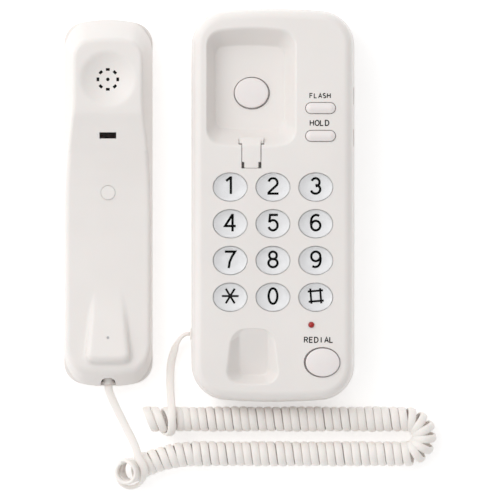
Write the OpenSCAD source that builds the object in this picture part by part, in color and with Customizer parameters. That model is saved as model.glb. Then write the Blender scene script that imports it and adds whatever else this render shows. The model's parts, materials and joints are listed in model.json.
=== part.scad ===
// Slimline wall telephone, laid out on a table: the base lies on its back with
// the handset face up beside it, and a coiled cord joins the two.
// Origin: centre of the base's back face. +X right, +Y towards the earpiece end,
// +Z out of the keypad. All sizes are in millimetres.

/* [Base] */
// Width of the base
base_w = 92; // [90:1:96]
// Length of the base
base_l = 221.5; // [216:0.5:226]
// Height of the keypad face above the back face
face_z = 38; // [37:0.5:39]
// Height of the seam between the rear cover and the front shell
seam_z = 14; // [13:0.5:15]
// Corner radius of the base's outline
base_r = 20; // [18:1:22]
// Wall thickness of the mouldings
wall = 2.2; // [2:0.1:2.4]
// Spacing of the two wall-hanging keyholes
keyhole_pitch = 83.5; // [80:0.5:86]

/* [Earpiece well] */
// Width of the well at its rim
well_w = 51.2; // [49:0.2:52]
// Length of the well at its rim
well_l = 69; // [66:0.5:70]
// Depth of the well below the keypad face
well_d = 13; // [12:0.5:13.5]

/* [Keypad] */
// Distance between key columns
key_dx = 24; // [23.6:0.1:24.6]
// Distance between key rows
key_dy = 20.6; // [20.2:0.1:21]
// Width of a key
key_w = 19; // [17:0.2:19.2]
// Height of a key
key_h = 15.8; // [14:0.2:16]
// How far a key goes down
key_travel = 1.8; // [1:0.1:2]

/* [Handset] */
// Width of the handset
hand_w = 50; // [49:0.5:51]
// Length of the handset
hand_l = 206.7; // [204:0.5:208]
// Height of the grip's face when the handset lies on its back
grip_z = 22; // [21:0.5:23]
// Height of the earpiece end's ridge
ear_z = 33; // [31:0.5:34]

/* [Cord] */
// Width of the flat cord
cord_w = 4.4; // [4:0.1:4.8]
// Thickness of the flat cord
cord_t = 2.4; // [2:0.1:2.6]
// Outer diameter of the coiled section
coil_d = 14.6; // [13.6:0.2:14.8]

/* [Hidden] */
$fn = 48;
white = [0.93, 0.91, 0.89];
steel = [0.72, 0.72, 0.74];
board_green = [0.16, 0.42, 0.24];
dark = [0.15, 0.14, 0.14];

gap = 0.3;                       // clearance round everything that moves
well_x = -12.1;                  // centre line of the well, the clip and the pocket
well_y = 66;                     // middle of the well's length
floor_z = face_z - well_d;       // the well's floor
hook_y = 63.2;                   // middle of the hook switch button
hook_w = 19;                     // the hook switch button's width
hook_h = 17;                     // and its height
hook_travel = 3.4;               // how far it goes down
pocket_y = -85.2;                // middle of the mouthpiece pocket
pocket_w = 30.4;
pocket_l = 33;
pocket_z = face_z - 9.5;         // the pocket's floor
key_top_row_y = 10.1;
key_names = ["1", "2", "3", "4", "5", "6", "7", "8", "9", "star", "0", "hash"];
key_at = [for (i = [0:11]) [(i % 3 - 1) * key_dx, key_top_row_y - floor(i / 3) * key_dy]];
skin_z = face_z - wall;          // underside of the keypad face
flange_top = skin_z - 0.4;       // retaining flanges of keys and buttons
flange_t = 2.2;
lip = 1.5;                       // how far a retaining flange reaches out past its key
slim_w = 16.5;                   // the two slim function buttons
slim_h = 5.9;
slim_at = [[26.7, 54.4], [26.7, 38.8]];
slim_names = ["flash_button", "hold_button"];
redial_at = [27.9, -88.3];
redial_drop = 0.8;               // its flange sits lower, clear of the rolled edge
led_at = [21.5, -67.2];
led_r = 1.6;
pad_z = 24;                      // top of the keypad board
board_t = 1.6;
mat_t = 1.2;
dome_z = 27;                     // top of the mat's domes, pressed flat
stem_z = dome_z + key_travel + 0.4;   // lowest point of the keys' stems
main_z = 9;                      // underside of the main board
microswitch_t = 2.8;
knob_y = [61.5, 38];             // the two slide switches in the right side
knob_names = ["ringer_volume_knob", "dial_mode_knob"];
knob_l = 4;
knob_h = 2.9;
knob_slot = 9.6;
knob_z = 19;
boss_at = [[-36, 92], [36, 92], [-37, -101], [37, -101]];
boss_r = 3.5;
pilot_r = 1.5;
screw_r = 1.4;
foot_at = [[-34, 74], [34, 74], [-34, -76], [34, -76]];
foot_r = 5;
foot_t = 1.2;
standoff_at = [[-34, 56], [34, 56], [-34, -50], [34, -50]];
jack_x = 20;
jack_w = 12.6;
jack_l = 12;
jack_h = 10.6;
plug_w = 9.8;
plug_h = 6.8;
plug_l = 9;
exit_y = -72.5;                  // where the cord leaves the base's left side
exit_z = 8;
clip_w = 8.1;
clip_y = [20.9, 38.2];
channel_w = 11.2;

hand_x = -92.8;                  // the handset's centre line
hand_y = 1.25;                   // and the middle of its length
hand_seam = 11;
hand_wall = 2;
ear_y = 70.7;
slot_y = 39.2;
cover_y = 7.1;
cover_z = grip_z + 1.4;           // top of the disc over the screw
mic_y = -74.5;
notch_w = 8.4;
notch_z = 11;                    // axis of the cord where it leaves the handset

// ---------- outlines and lofts ----------

// Quarter of a rounded rectangle with arched ends, from the side to the top middle.
function quarter(w, l, r, arch) =
    let (low = l / 2 - arch,
         mid = low + sqrt(pow(arch - r, 2) - pow(w / 2 - r, 2)),
         turn = atan2(mid - low, w / 2 - r))
    concat(
        [for (i = [0:6]) [w / 2 - r + r * cos(turn * i / 6), mid + r * sin(turn * i / 6)]],
        [for (i = [1:3]) let (a = turn + (90 - turn) * i / 3) [arch * cos(a), low + arch * sin(a)]]);

// The whole outline, anticlockwise, drawn in by inset on every side.
function outline(w, l, r, arch, inset = 0) =
    let (q = quarter(w - 2 * inset, l - 2 * inset, max(r - inset, 1), arch - inset), n = len(q))
    concat(
        q,
        [for (i = [n - 2:-1:0]) [-q[i].x, q[i].y]],
        [for (i = [0:n - 1]) [-q[i].x, -q[i].y]],
        [for (i = [n - 2:-1:0]) [q[i].x, -q[i].y]]);

function ellipse(w, h, n = 32) = [for (i = [0:n - 1]) [w / 2 * cos(360 * i / n), h / 2 * sin(360 * i / n)]];
function moved(points, x, y) = [for (p = points) [p.x + x, p.y + y]];

// Skin through rings of 3-D points that all run the same way round, with flat ends.
module skin(rings) {
    n = len(rings[0]);
    m = len(rings);
    polyhedron(
        points = [for (r = rings) for (p = r) p],
        faces = concat(
            [[for (i = [0:n - 1]) i]],
            [for (k = [0:m - 2]) for (i = [0:n - 1])
                [k * n + i, (k + 1) * n + i, (k + 1) * n + (i + 1) % n, k * n + (i + 1) % n]],
            [[for (i = [n - 1:-1:0]) (m - 1) * n + i]]));
}

function at_height(points, z) = [for (p = points) [p.x, p.y, z]];

module stadium(w, h) {
    square([w - h, h], center = true);
    for (s = [-1, 1]) translate([s * (w - h) / 2, 0]) circle(d = h);
}

// ---------- base mouldings ----------

function base_ring(inset, z) = at_height(outline(base_w, base_l, base_r, 330, inset), z);
// [inset, height below the face] of the rolled upper edge
roll = [[6.5, 0], [3.6, 1.2], [1.8, 3.2], [0.8, 6.5]];

module front_body(inset, drop, low) {
    skin(concat(
        [base_ring(inset, low)],
        [for (i = [3:-1:0]) base_ring(inset + roll[i][0], face_z - drop - roll[i][1])]));
}

module well(grow, low) {
    rim = moved(outline(well_w + 2 * grow, well_l + 2 * grow, 8 + grow, 150), well_x, well_y);
    bed = moved(outline(38.3 + 2 * grow, 46.3 + 2 * grow, 6 + grow, 150), well_x - 0.9, well_y + 0.3);
    skin([at_height(bed, low), at_height(rim, face_z - (grow > 0 ? 0.1 : 0)),
          at_height(rim, face_z + (grow > 0 ? -0.05 : 1))]);
}

module pocket(grow, low) {
    top = face_z - (grow > 0 ? 0.1 : 0);
    hull() {
        translate([well_x + 0.5, pocket_y, top])
            linear_extrude(grow > 0 ? 0.05 : 1)
                polygon(outline(pocket_w + 2 * grow, pocket_l + 2 * grow, 9, 60));
        translate([well_x + 0.5, pocket_y - 3, low])
            linear_extrude(0.1)
                polygon(outline(15 + 2 * grow, 11 + 2 * grow, 4, 60));
    }
}

module clip_channel() {
    translate([well_x - channel_w / 2, clip_y[0] - gap, face_z - 3])
        cube([channel_w, 22, 4]);
    translate([well_x - 7.2, 34, face_z - 6])
        cube([14.4, 8, 7]);
}

module face_openings() {
    for (p = key_at) translate([p.x, p.y, skin_z - 1])
        linear_extrude(wall + 2) polygon(ellipse(key_w + 2 * gap, key_h + 2 * gap));
    for (p = slim_at) translate([p.x, p.y, skin_z - 1])
        linear_extrude(wall + 2) stadium(slim_w + 2 * gap, slim_h + 2 * gap);
    translate([redial_at.x, redial_at.y, skin_z - 1])
        linear_extrude(wall + 2) polygon(ellipse(key_w + 2 * gap, key_h + 2 * gap));
    translate([led_at.x, led_at.y, skin_z - 1]) cylinder(r = led_r + 0.1, h = wall + 2);
    translate([well_x, hook_y, floor_z - wall - 1])
        linear_extrude(wall + 2) polygon(ellipse(hook_w + 2 * gap, hook_h + 2 * gap));
    for (y = knob_y) translate([base_w / 2 - 6, y - knob_slot / 2, knob_z - knob_h / 2 - gap])
        cube([10, knob_slot, knob_h + 2 * gap]);
}

module base_front_shell() {
    color(white) difference() {
        union() {
            difference() {
                front_body(0, 0, seam_z);
                front_body(wall, wall, seam_z - 1);
            }
            well(wall, floor_z - wall);
            pocket(wall, pocket_z - wall);
            translate([well_x - 9.4, clip_y[0] - 0.9, face_z - 8.2]) cube([18.8, 17, 8.1]);
            for (p = boss_at) translate([p.x, p.y, seam_z]) cylinder(r = boss_r, h = p.y > 0 ? 22 : 17);
            for (x = [-40.6, 40.6], y = [18, -56]) translate([x, y, pad_z]) cylinder(r = 1.6, h = 12.4);
        }
        well(0, floor_z);
        pocket(0, pocket_z);
        clip_channel();
        face_openings();
        for (p = boss_at) translate([p.x, p.y, seam_z - 1]) cylinder(r = pilot_r, h = 11);
    }
}

module keyhole() {
    translate([0, 0, -1]) cylinder(r = 4.5, h = wall + 2);
    translate([0, 9, -1]) cylinder(r = 2.3, h = wall + 2);
    translate([-2.3, 0, -1]) cube([4.6, 9, wall + 2]);
}

module base_rear_cover() {
    color(white) difference() {
        union() {
            difference() {
                skin([base_ring(2.2, 0), base_ring(1, 1), base_ring(0.4, 3), base_ring(0, seam_z)]);
                skin([base_ring(wall + 0.4, wall), base_ring(wall, seam_z + 1)]);
            }
            for (p = boss_at) translate([p.x, p.y, 1]) cylinder(r = boss_r, h = seam_z - 1);
            for (p = standoff_at) translate([p.x, p.y, 1]) cylinder(r = 2.5, h = main_z - 1);
        }
        for (s = [-1, 1]) translate([0, s * keyhole_pitch / 2, 0]) keyhole();
        for (p = foot_at) translate([p.x, p.y, -1]) cylinder(r = foot_r + 0.1, h = 1 + foot_t);
        for (p = boss_at) translate([p.x, p.y, -1]) {
            cylinder(r = 1.7, h = seam_z + 2);
            cylinder(r = 3, h = 4);
        }
        for (a = [0:60:300]) translate([6 * cos(a), -88 + 6 * sin(a), -1]) cylinder(r = 1, h = wall + 2);
        translate([jack_x - jack_w / 2 - 0.1, base_l / 2 - 5, wall + 0.2]) cube([jack_w + 0.2, 9, jack_h + 0.2]);
        translate([-base_w / 2 - 1, exit_y, exit_z]) rotate([0, 90, 0]) cylinder(r = 3.3, h = 5);
    }
}

// ---------- fixings and feet ----------

module pan_screw(length) {
    cylinder(r = screw_r, h = length);
    cylinder(r = 2.7, h = 1.6);
}

module base_screws() {
    color(steel) for (p = boss_at) translate([p.x, p.y, 1.3]) pan_screw(19);
}

module rubber_feet() {
    color(dark) for (p = foot_at) translate([p.x, p.y, 0]) cylinder(r = foot_r, h = foot_t);
}

// ---------- hook switch and clip ----------

module hook_switch_button() {
    low = floor_z - wall - 0.5;
    foot = main_z + board_t + microswitch_t + hook_travel + 0.4;
    color(white) translate([well_x, hook_y, 0]) {
        skin([at_height(ellipse(hook_w, hook_h), low - 2), at_height(ellipse(hook_w, hook_h), floor_z + 2),
              at_height(ellipse(hook_w - 1.4, hook_h - 1.4), floor_z + 2.8)]);
        translate([0, 0, low - 2]) linear_extrude(2) polygon(ellipse(hook_w + 3, hook_h + 3));
        translate([0, 0, foot]) cylinder(r = 3, h = low - 1 - foot);
    }
}

spring_r = 5.6;
wire_r = 0.35;
module hook_switch_spring() {
    turns = 5;
    low = main_z + board_t + 0.45;
    rise = floor_z - wall - 2.5 - 0.45 - low;
    steps = 14 * turns;
    color(steel) translate([well_x, hook_y, low])
        skin([for (i = [steps:-1:0]) let (a = 360 * turns * i / steps)
            [for (j = [0:5]) let (r = spring_r + wire_r * cos(60 * j))
                [r * cos(a), r * sin(a), rise * i / steps + wire_r * sin(60 * j)]]]);
}

module hook_microswitch() {
    color(dark) translate([well_x - 3.1, hook_y - 3.1, main_z + board_t]) cube([6.2, 6.2, microswitch_t]);
}

module handset_clip() {
    y = clip_y[0];
    l = clip_y[1] - y;
    color(white) {
        translate([well_x - clip_w / 2, y, face_z - 2.6]) cube([clip_w, 12, 2.8]);
        translate([well_x - clip_w / 2, y + 11, face_z - 2.6]) cube([clip_w, l - 11, 1.8]);
        translate([well_x - 6.8, clip_y[1] - 3.6, face_z - 5.6]) cube([13.6, 3.6, 3.2]);
    }
}

// ---------- keys and buttons ----------

module flange(w, h) {
    translate([0, 0, flange_top - flange_t]) linear_extrude(flange_t) polygon(ellipse(w + 2 * lip, h + 2 * lip));
}

module key_body(i) {
    color(white) translate([key_at[i].x, key_at[i].y, 0]) {
        flange(key_w, key_h);
        translate([0, 0, flange_top - 1]) linear_extrude(1.6) polygon(ellipse(key_w, key_h));
        translate([0, 0, stem_z]) cylinder(r = 4, h = flange_top - flange_t - stem_z + 1);
    }
}

module key_lens(i) {
    low = flange_top + 0.6;
    color([0.85, 0.88, 0.9, 0.5]) translate([key_at[i].x, key_at[i].y, 0])
        skin([for (s = [[0, low], [0, face_z + 0.4], [1.6, face_z + 1.3], [5, face_z + 2.1], [9, face_z + 2.5]])
            at_height(ellipse(key_w - s[0], key_h - s[0], 24), s[1])]);
}

module slim_button(i) {
    color(white) translate([slim_at[i].x, slim_at[i].y, 0]) {
        translate([0, 0, flange_top - flange_t]) linear_extrude(flange_t) stadium(slim_w + 2 * lip, slim_h + 2 * lip);
        translate([0, 0, flange_top - 1]) linear_extrude(face_z + 1.5 - flange_top + 1) stadium(slim_w, slim_h);
        translate([0, 0, stem_z]) cylinder(r = 2, h = flange_top - flange_t - stem_z + 1);
    }
}

module redial_button() {
    color(white) translate([redial_at.x, redial_at.y, 0]) {
        translate([0, 0, -redial_drop]) flange(key_w, key_h);
        skin([for (s = [[0, flange_top - 1], [0, face_z + 1], [1, face_z + 1.7], [7, face_z + 2]])
            at_height(ellipse(key_w - s[0], key_h - s[0]), s[1])]);
        translate([0, 0, stem_z]) cylinder(r = 4, h = flange_top - flange_t - stem_z + 1);
    }
}

module ring_indicator_led() {
    color([0.8, 0.1, 0.1]) translate([led_at.x, led_at.y, 0]) {
        translate([0, 0, skin_z - 2.5]) cylinder(r = led_r, h = wall + 2.5);
        translate([0, 0, face_z]) sphere(r = led_r);
        translate([0, 0, skin_z - 3.5]) cylinder(r = 2, h = 1);
        for (s = [-1, 1]) translate([s * 0.8, 0, pad_z]) cylinder(r = 0.25, h = skin_z - 3 - pad_z);
    }
}

// ---------- electrics in the base ----------

module pad_outline(inset) {
    translate([-42 + inset, -62 + inset]) square([84 - 2 * inset, 86 - 2 * inset]);
    translate([16 + inset, 20]) square([26 - 2 * inset, 44 - inset]);
    translate([12 + inset, -97 + inset]) square([28 - 2 * inset, 39]);
}

module keypad_rubber_mat() {
    color(dark) difference() {
        union() {
            translate([0, 0, pad_z]) linear_extrude(mat_t) pad_outline(4);
            for (p = concat(key_at, slim_at, [redial_at])) translate([p.x, p.y, pad_z])
                cylinder(r1 = 5.6, r2 = 4.2, h = dome_z - pad_z);
        }
        translate([led_at.x, led_at.y, pad_z - 1]) cylinder(r = 2, h = mat_t + 2);
    }
}

module keypad_board() {
    color(board_green) translate([0, 0, pad_z - board_t]) linear_extrude(board_t) pad_outline(0);
}

module slide_switch(i) {
    color(dark) translate([36, knob_y[i] - 6, knob_z - 3.2]) cube([6.2, 12, pad_z - board_t - knob_z + 3.2]);
}

module slide_knob(i) {
    color(white) translate([42.5, knob_y[i] - knob_l / 2, knob_z - knob_h / 2]) cube([4.6, knob_l, knob_h]);
}

module main_circuit_board() {
    color(board_green) translate([-39, -60, main_z]) cube([78, 140, board_t]);
}

module ringer() {
    color(steel) translate([0, -88, wall]) cylinder(r = 12, h = 3.5);
}

module line_jack() {
    color(dark) translate([jack_x, base_l / 2 - 1, wall + 0.3]) difference() {
        translate([-jack_w / 2, -jack_l, 0]) cube([jack_w, jack_l, jack_h]);
        translate([-plug_w / 2, -plug_l, 1.9]) cube([plug_w, plug_l + 1, plug_h]);
    }
}

module base_cord_grommet() {
    color(white) translate([-base_w / 2 - 0.6, exit_y, exit_z]) rotate([0, 90, 0]) {
        cylinder(r = 3.2, h = 3.6);
        translate([0, 0, 3.2]) cylinder(r = 4.4, h = 1.6);
    }
}

module base_weight() {
    color(steel) translate([-28, 60, wall]) cube([56, 30, 3]);
}

// ---------- handset ----------

function hand_ring(inset, z) = at_height(moved(outline(hand_w, hand_l, 11, 75, inset), hand_x, hand_y), z);

// [y, half width, top height, width of the rolled shoulder] along the face of the handset
hand_sections = [
    [-102.1, 8, 13, 1], [-101, 17, 14.5, 1.5], [-99, 21, 17.5, 2], [-96, 24, 20.5, 3],
    [-91, 25, grip_z, 3], [-50, 25, grip_z, 3], [-15, 25, grip_z + 0.1, 3], [0, 25, grip_z + 0.7, 3],
    [10, 25, grip_z + 1.7, 3], [20, 25, grip_z + 3.2, 3.5], [30, 25, grip_z + 5.3, 4], [40, 25, ear_z - 3.6, 5],
    [50, 25, ear_z - 1.4, 6], [57, 25, ear_z - 0.5, 7], [90, 25, ear_z, 7],
    [95, 24.5, ear_z - 3.5, 7], [100, 22, ear_z - 10, 5], [103, 16, 17, 3], [104.6, 8, 13, 1]];

// The same profile for the outside and, with a shell thickness, for the inside.
function hand_section(s, t, low) =
    let (w = s[1] - t, top = s[2] - t, r = s[3])
    [for (p = [[-w, low], [w, low], [w, top - r], [w - 0.3 * r, top - 0.35 * r], [w - r, top],
               [r - w, top], [0.3 * r - w, top - 0.35 * r], [-w, top - r]])
        [hand_x + p.x, s[0], p.y]];

module hand_upper(t, low) {
    rows = t == 0 ? hand_sections : [for (s = hand_sections) if (s[2] > low + t + s[3] + 1 && s[1] > 20) s];
    skin([for (i = [len(rows) - 1:-1:0]) hand_section(rows[i], t, low)]);
}

// The hump over the microphone, as [y, half width at the foot, top height]
hump_sections = [[-50, 9.4, grip_z + 0.1], [-64, 10.6, grip_z + 3.6], [-78, 12.2, grip_z + 8], [-85, 13, grip_z + 9.8],
                 [-89.2, 13, grip_z + 0.1]];

module hump(t) {
    skin([for (i = [0:len(hump_sections) - 1])
        let (s = hump_sections[i], w = s[1] - t, low = grip_z - 2.5, top = max(s[2] - t, low + 0.2))
        [for (p = [[-w, low], [w, low], [w - (top - low) * 0.14, top], [(top - low) * 0.14 - w, top]])
            [hand_x + p.x, s[0] + (i == 0 ? -t : i == len(hump_sections) - 1 ? t : 0), p.y]]]);
}

dish_r = 34;
dish_low = 29.2;                 // lowest point of the ear dish
ear_hole_r = 5.4;                // radius of the ring of sound slots

module receiver_seat() {
    translate([hand_x, ear_y, 26.5]) cylinder(r = 17.5, h = 4);
    translate([hand_x, ear_y, 21.05]) difference() {
        cylinder(r = 14, h = 7);
        translate([0, 0, -1]) cylinder(r = 12, h = 7);
    }
}

module ear_openings() {
    translate([hand_x, ear_y, dish_low + dish_r]) sphere(r = dish_r);
    translate([hand_x, ear_y, dish_low - 8]) cylinder(r = 1, h = 10);
    for (a = [0:45:315]) translate([hand_x, ear_y, dish_low - 8]) rotate([0, 0, a])
        translate([ear_hole_r - 0.8, -1.1, 0]) cube([1.6, 2.2, 10]);
}

module cord_notch(low, high) {
    translate([hand_x, -100.8, low]) {
        translate([-notch_w / 2, -8, 0]) cube([notch_w, 7, high - low]);
        translate([0, -1, 0]) cylinder(r = notch_w / 2, h = high - low);
    }
}

module handset_front_shell() {
    color(white) difference() {
        union() {
            difference() {
                union() {
                    hand_upper(0, hand_seam);
                    hump(0);
                }
                hand_upper(hand_wall, hand_seam - 1);
                hump(hand_wall);
            }
            translate([hand_x, cover_y, hand_seam]) cylinder(r = 6, h = grip_z - hand_seam);
            translate([hand_x - 7, slot_y - 4, grip_z + 0.8]) cube([14, 8, 5.2]);
            receiver_seat();
        }
        ear_openings();
        translate([hand_x - 4.75, slot_y - 1.7, grip_z - 1]) cube([9.5, 3.4, 14]);
        translate([hand_x, cover_y, hand_seam - 1]) cylinder(r = 1.7, h = 14);
        translate([hand_x, cover_y, 16.8]) cylinder(r = 3.2, h = 5);
        translate([hand_x, cover_y, cover_z - 2.1]) cylinder(r = 4.05, h = 4);
        translate([hand_x, mic_y, grip_z + 2]) cylinder(r = 0.7, h = 10);
        cord_notch(hand_seam - 1, 24);
    }
}

module handset_rear_shell() {
    color(white) difference() {
        union() {
            difference() {
                skin([hand_ring(5, 0), hand_ring(3, 0.8), hand_ring(1.4, 2.6), hand_ring(0.4, 6), hand_ring(0, hand_seam)]);
                skin([hand_ring(6, hand_wall), hand_ring(hand_wall + 0.6, 6), hand_ring(hand_wall, hand_seam + 1)]);
            }
            translate([hand_x, cover_y, 1]) cylinder(r = 4, h = hand_seam - 1);
        }
        translate([hand_x, cover_y, 3]) cylinder(r = pilot_r, h = 10);
        cord_notch(notch_z - 4.2, hand_seam + 1);
    }
}

module handset_screw() {
    color(steel) translate([hand_x, cover_y, 18.6]) mirror([0, 0, 1]) pan_screw(14);
}

module screw_cover() {
    color(white) translate([hand_x, cover_y, cover_z - 2]) cylinder(r = 3.95, h = 2);
}

module earpiece_receiver() {
    color(dark) translate([hand_x, ear_y, 13]) {
        cylinder(r = 17, h = 8);
        cylinder(r = 11, h = 11);
    }
}

module microphone() {
    color(steel) translate([hand_x, mic_y, grip_z - 2]) cylinder(r = 4.9, h = 4.4);
}

module microphone_grommet() {
    color(dark) translate([hand_x, mic_y, grip_z - 2.5]) difference() {
        cylinder(r = 6.2, h = 5);
        translate([0, 0, 0.5]) cylinder(r = 4.95, h = 6);
    }
}

module handset_weight() {
    color(steel) translate([hand_x - 13, -60, hand_wall]) cube([26, 54, 5]);
}

module handset_cord_grommet() {
    color(white) translate([hand_x, -101, notch_z]) rotate([-90, 0, 0]) {
        cylinder(r = 3, h = 6);
        translate([0, 0, 3]) cylinder(r = 3.6, h = 2);
    }
}

// ---------- cord ----------

function unit(v) = v / norm(v);
function heading(route, i) = unit(route[min(i + 1, len(route) - 1)] - route[max(i - 1, 0)]);

// Tube with an elliptical section, its wide side lying flat, along a route.
module tube(route, w, t, sides) {
    skin([for (i = [0:len(route) - 1])
        let (d = heading(route, i), across = unit(cross([0, 0, 1], d)), up = cross(d, across))
        [for (j = [0:sides - 1]) let (a = -360 * j / sides)
            route[i] + across * w / 2 * cos(a) + up * t / 2 * sin(a)]]);
}

// From the handset's end across to the top of the coil's left end
handset_tail = [
    [-92.8, -101.1, 11], [-92.6, -104, 11], [-91.6, -107, 11], [-89.9, -111, 11.1], [-88, -115, 11.4],
    [-86, -119, 11.9], [-84, -123, 12.6], [-82, -127, 13.4], [-79.9, -131, 14.3], [-78, -135, 15.2],
    [-76.6, -139, 15.9], [-75.8, -142, 16.3]];

// From the base's left side down beside it and up onto the coil's upper row
base_tail = [
    [-46.7, -72.5, 8], [-48.9, -72.5, 8], [-51.6, -74.2, 7.8], [-54, -77.6, 7.2], [-55.8, -82.4, 6], [-57, -86.6, 5],
    [-57.7, -91, 4.5], [-57.9, -96, 5], [-57.9, -101, 6.8], [-57.7, -106, 9.8], [-57.4, -110.5, 13.4],
    [-57.1, -114.5, 15.8], [-56.9, -118.5, 16.2], [-56.8, -122, 16.2]];

row_y = -120.6;                  // the coil's upper row
low_row_y = -140.2;              // and its lower row
turn_x = 75.5;                   // middle of the bend that joins them
turn_y = (row_y + low_row_y) / 2;
turn_r = (row_y - low_row_y) / 2;
coil_z = coil_d / 2 + 0.1;

coil_left_end = [[-46, -140.2, coil_z], [-54, -141, coil_z], [-62, -142.8, coil_z], [-70, -145.2, coil_z],
                 [-77, -147.4, coil_z + 0.3], [-83, -149.2, coil_z + 0.9]];
coil_route = concat(
    [[-70, row_y, coil_z], [0, row_y, coil_z]],
    [for (a = [90:-18:-90]) [turn_x + turn_r * cos(a), turn_y + turn_r * sin(a), coil_z]],
    [[0, low_row_y, coil_z]],
    coil_left_end);

module cord_tail_handset() {
    color(white) tube(handset_tail, cord_w, cord_t, 8);
}

module cord_coil() {
    color(white) tube(coil_route, coil_d, coil_d, 12);
}

module cord_tail_base() {
    color(white) tube(base_tail, cord_w, cord_t, 8);
}

// ---------- nodes ----------

base_front_shell();
base_rear_cover();
base_screws();
rubber_feet();
hook_switch_button();
hook_switch_spring();
hook_microswitch();
handset_clip();
for (i = [0:11]) {
    key_lens(i);
    key_body(i);
}
for (i = [0:1]) {
    slim_button(i);
    slide_knob(i);
}
redial_button();
ring_indicator_led();
keypad_rubber_mat();
keypad_board();
slide_switch(0);  // ringer_volume_switch
slide_switch(1);  // dial_mode_switch
main_circuit_board();
ringer();
line_jack();
base_cord_grommet();
base_weight();
handset_front_shell();
handset_rear_shell();
handset_screw();
screw_cover();
earpiece_receiver();
microphone();
microphone_grommet();
handset_weight();
handset_cord_grommet();
cord_tail_handset();
cord_coil();
cord_tail_base();
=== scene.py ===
"""Looks of the slimline telephone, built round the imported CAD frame.

Everything is laid out in millimetres in the row frame and turned into metres as each mesh is made.
"""

import json
import math

import bpy
import bmesh
import numpy as np
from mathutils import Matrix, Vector


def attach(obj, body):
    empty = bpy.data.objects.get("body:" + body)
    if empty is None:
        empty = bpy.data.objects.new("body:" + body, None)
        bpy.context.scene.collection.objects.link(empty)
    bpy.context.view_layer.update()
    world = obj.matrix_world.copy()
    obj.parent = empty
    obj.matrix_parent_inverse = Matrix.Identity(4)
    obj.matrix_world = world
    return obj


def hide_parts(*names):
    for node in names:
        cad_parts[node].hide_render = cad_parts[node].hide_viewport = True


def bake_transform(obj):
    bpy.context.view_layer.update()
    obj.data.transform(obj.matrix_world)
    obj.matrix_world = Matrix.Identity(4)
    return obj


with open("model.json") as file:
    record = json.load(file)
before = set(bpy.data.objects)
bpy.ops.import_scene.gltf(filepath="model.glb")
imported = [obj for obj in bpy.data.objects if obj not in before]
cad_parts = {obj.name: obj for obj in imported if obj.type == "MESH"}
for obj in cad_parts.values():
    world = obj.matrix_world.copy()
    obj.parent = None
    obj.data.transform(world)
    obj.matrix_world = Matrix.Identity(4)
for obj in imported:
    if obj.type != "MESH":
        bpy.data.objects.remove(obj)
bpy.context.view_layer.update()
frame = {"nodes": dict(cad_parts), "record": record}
MM = 0.001

# ---------------------------------------------------------------- sizes, as in the CAD source
BASE_W, BASE_L, BASE_R, BASE_ARCH = 92.0, 221.5, 20.0, 330.0
FACE_Z, SEAM_Z, WALL = 38.0, 14.0, 2.2
WELL_X, WELL_Y, FLOOR_Z = -12.1, 66.0, 25.0
KEY_W, KEY_H, KEY_DX, KEY_DY, KEY_TOP_Y = 19.0, 15.8, 24.0, 20.6, 10.1
KEY_NAMES = ["1", "2", "3", "4", "5", "6", "7", "8", "9", "star", "0", "hash"]
GAP = 0.3
KEY_GAP = 0.2
FLANGE_TOP, FLANGE_T, LIP, STEM_Z = 35.4, 2.2, 1.5, 29.2
SLIM_W, SLIM_H = 16.5, 5.9
SLIM_AT = {"flash_button": (26.7, 54.4), "hold_button": (26.7, 38.8)}
REDIAL_AT = (27.9, -88.3)
LED_AT, LED_R = (21.5, -67.2), 1.6
HOOK_AT, HOOK_W, HOOK_H = (-12.1, 63.2), 19.0, 17.0
KNOB_Y, KNOB_SLOT, KNOB_Z, KNOB_H = (61.5, 38.0), 9.6, 19.0, 2.9
SCREWS_AT = ((-36, 92), (36, 92), (-37, -101), (37, -101))
FEET_AT = ((-34, 74), (34, 74), (-34, -76), (34, -76))
KEYHOLE_Y = 41.75
SOUND_Y, SOUND_R, SOUND_COUNT = -88.0, 6.0, 6
JACK_X, JACK_W = 20.0, 12.8
EXIT_X, EXIT_Y, EXIT_Z = -45.0, -72.5, 8.0
HAND_X, HAND_Y, HAND_W, HAND_L, HAND_SEAM = -92.8, 1.25, 50.0, 206.7, 11.0
HAND_ARCH, HAND_R = 75.0, 12.0
EAR_Y, SLOT_Y, COVER_Y, COVER_Z, MIC_Y = 70.7, 39.2, 7.1, 23.4, -74.5
GRIP_Z, EAR_Z = 22.0, 33.0
CORD_W, CORD_T, COIL_D = 4.4, 2.4, 14.6


# ---------------------------------------------------------------- camera and lights
def camera():
    """Straight down over the middle of the layout, from far enough for a nearly parallel view."""
    view_width, height, sensor = 0.2805, 5.0, 36.0
    data = bpy.data.cameras.new("camera")
    data.sensor_width = sensor
    data.lens = sensor * height / view_width
    data.clip_end = 100
    eye = bpy.data.objects.new("camera", data)
    eye.location = (-0.0129, -0.0252, height + FACE_Z * MM)
    bpy.context.scene.collection.objects.link(eye)
    bpy.context.scene.camera = eye


def area_light(name, place, target, size, watts):
    data = bpy.data.lights.new(name, "AREA")
    data.shape = "DISK"
    data.size = size
    data.energy = watts
    lamp = bpy.data.objects.new(name, data)
    lamp.location = place
    lamp.rotation_euler = (Vector(target) - Vector(place)).to_track_quat("-Z", "Y").to_euler()
    bpy.context.scene.collection.objects.link(lamp)


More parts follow.
